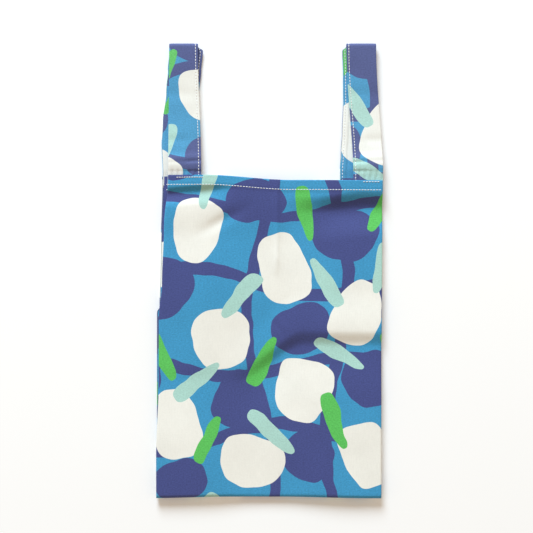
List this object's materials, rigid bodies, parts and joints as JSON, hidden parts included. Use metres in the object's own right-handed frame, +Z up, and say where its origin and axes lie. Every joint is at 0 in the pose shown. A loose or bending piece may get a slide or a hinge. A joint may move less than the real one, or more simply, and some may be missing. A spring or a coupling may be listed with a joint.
{
  "type": "lunch bag",
  "caption": "Small flat-lying gusseted cotton lunch bag with a hemmed mouth and two side loop handles that fold flat.",
  "frame": {"origin": "middle of the bag's footprint, on the surface that it lies on", "axes": "+Y from the closed bottom edge to the handles, +Z up out of the front panel, +X to the right seen from the front"},
  "size_m": [0.2, 0.408, 0.0102],
  "materials": {
    "printed_cloth": "matte plain-weave cotton with an all-over print",
    "cloth_reverse": "matte reverse side of the printed cotton, paler",
    "strap": "matte doubled printed cotton strap",
    "thread": "off-white sewing thread"
  },
  "bodies": {
    "back": {"back_panel": "printed_cloth", "back_hem_ply": "printed_cloth", "back_hem_thread": "thread", "back_bottom_turn": "printed_cloth", "bottom_seam_allowance": "cloth_reverse", "bottom_seam_thread": "thread", "left_gusset_back_strip": "cloth_reverse", "right_gusset_back_strip": "cloth_reverse", "left_back_tack_thread": "thread", "right_back_tack_thread": "thread"},
    "front": {"front_panel": "printed_cloth", "front_hem_ply": "printed_cloth", "front_hem_thread": "thread", "front_bottom_turn": "printed_cloth", "left_gusset_front_strip": "cloth_reverse", "right_gusset_front_strip": "cloth_reverse", "left_front_tack_thread": "thread", "right_front_tack_thread": "thread"},
    "left_gusset_fold": {"left_gusset_fold_back": "cloth_reverse", "left_gusset_fold_front": "cloth_reverse"},
    "left_handle_root": {"left_handle_front_root": "strap"},
    "left_handle_front_leg": {"left_handle_front_leg": "strap", "left_handle_front_thread": "thread", "left_handle_crown": "strap"},
    "left_handle_back_leg": {"left_handle_back_leg": "strap", "left_handle_back_thread": "thread"},
    "left_handle_back_root": {"left_handle_back_root": "strap"},
    "right_gusset_fold": {"right_gusset_fold_back": "cloth_reverse", "right_gusset_fold_front": "cloth_reverse"},
    "right_handle_root": {"right_handle_front_root": "strap"},
    "right_handle_front_leg": {"right_handle_front_leg": "strap", "right_handle_front_thread": "thread", "right_handle_crown": "strap"},
    "right_handle_back_leg": {"right_handle_back_leg": "strap", "right_handle_back_thread": "thread"},
    "right_handle_back_root": {"right_handle_back_root": "strap"}
  },
  "joints": [
    {"name": "mouth_open", "type": "hinge", "parent": "back", "child": "front", "pos_m": [0, -0.204, 0.00495], "axis": [1, 0, 0], "range_deg": [0, 18]},
    {"name": "left_gusset_follow", "type": "hinge", "parent": "back", "child": "left_gusset_fold", "pos_m": [0, -0.204, 0.00495], "axis": [1, 0, 0], "range_deg": [0, 9.5]},
    {"name": "left_handle_lean", "type": "hinge", "parent": "front", "child": "left_handle_root", "pos_m": [-0.0775, 0.084, 0.00495], "axis": [0, 0, -1], "range_deg": [-8, 15]},
    {"name": "left_back_root_lean", "type": "hinge", "parent": "back", "child": "left_handle_back_root", "pos_m": [-0.0775, 0.084, 0.00495], "axis": [0, 0, -1], "range_deg": [-8.5, 15.5]},
    {"name": "left_leg_tilt", "type": "hinge", "parent": "left_handle_root", "child": "left_handle_front_leg", "pos_m": [-0.0775, 0.094, 0.00645], "axis": [-1, 0, 0], "range_deg": [0, 34.5]},
    {"name": "left_crown_bend", "type": "hinge", "parent": "left_handle_front_leg", "child": "left_handle_back_leg", "pos_m": [-0.0775, 0.2011, 0.00205], "axis": [1, 0, 0], "range_deg": [0, 52.5]},
    {"name": "right_gusset_follow", "type": "hinge", "parent": "back", "child": "right_gusset_fold", "pos_m": [0, -0.204, 0.00495], "axis": [1, 0, 0], "range_deg": [0, 9.5]},
    {"name": "right_handle_lean", "type": "hinge", "parent": "front", "child": "right_handle_root", "pos_m": [0.0848, 0.084, 0.00495], "axis": [0, 0, 1], "range_deg": [-8, 15]},
    {"name": "right_back_root_lean", "type": "hinge", "parent": "back", "child": "right_handle_back_root", "pos_m": [0.0848, 0.084, 0.00495], "axis": [0, 0, 1], "range_deg": [-8.5, 15.5]},
    {"name": "right_leg_tilt", "type": "hinge", "parent": "right_handle_root", "child": "right_handle_front_leg", "pos_m": [0.0848, 0.094, 0.00645], "axis": [-1, 0, 0], "range_deg": [0, 34.5]},
    {"name": "right_crown_bend", "type": "hinge", "parent": "right_handle_front_leg", "child": "right_handle_back_leg", "pos_m": [0.0848, 0.2011, 0.00205], "axis": [1, 0, 0], "range_deg": [0, 52.5]}
  ],
  "couplings": [
    {"joint": "left_gusset_follow", "follows": "mouth_open", "ratio": 0.5},
    {"joint": "left_leg_tilt", "follows": "mouth_open", "ratio": 1.8689},
    {"joint": "left_crown_bend", "follows": "mouth_open", "ratio": 2.8769},
    {"joint": "left_back_root_lean", "follows": "left_handle_lean", "ratio": 1},
    {"joint": "right_gusset_follow", "follows": "mouth_open", "ratio": 0.5},
    {"joint": "right_leg_tilt", "follows": "mouth_open", "ratio": 1.8689},
    {"joint": "right_crown_bend", "follows": "mouth_open", "ratio": 2.8769},
    {"joint": "right_back_root_lean", "follows": "right_handle_lean", "ratio": 1}
  ]
}
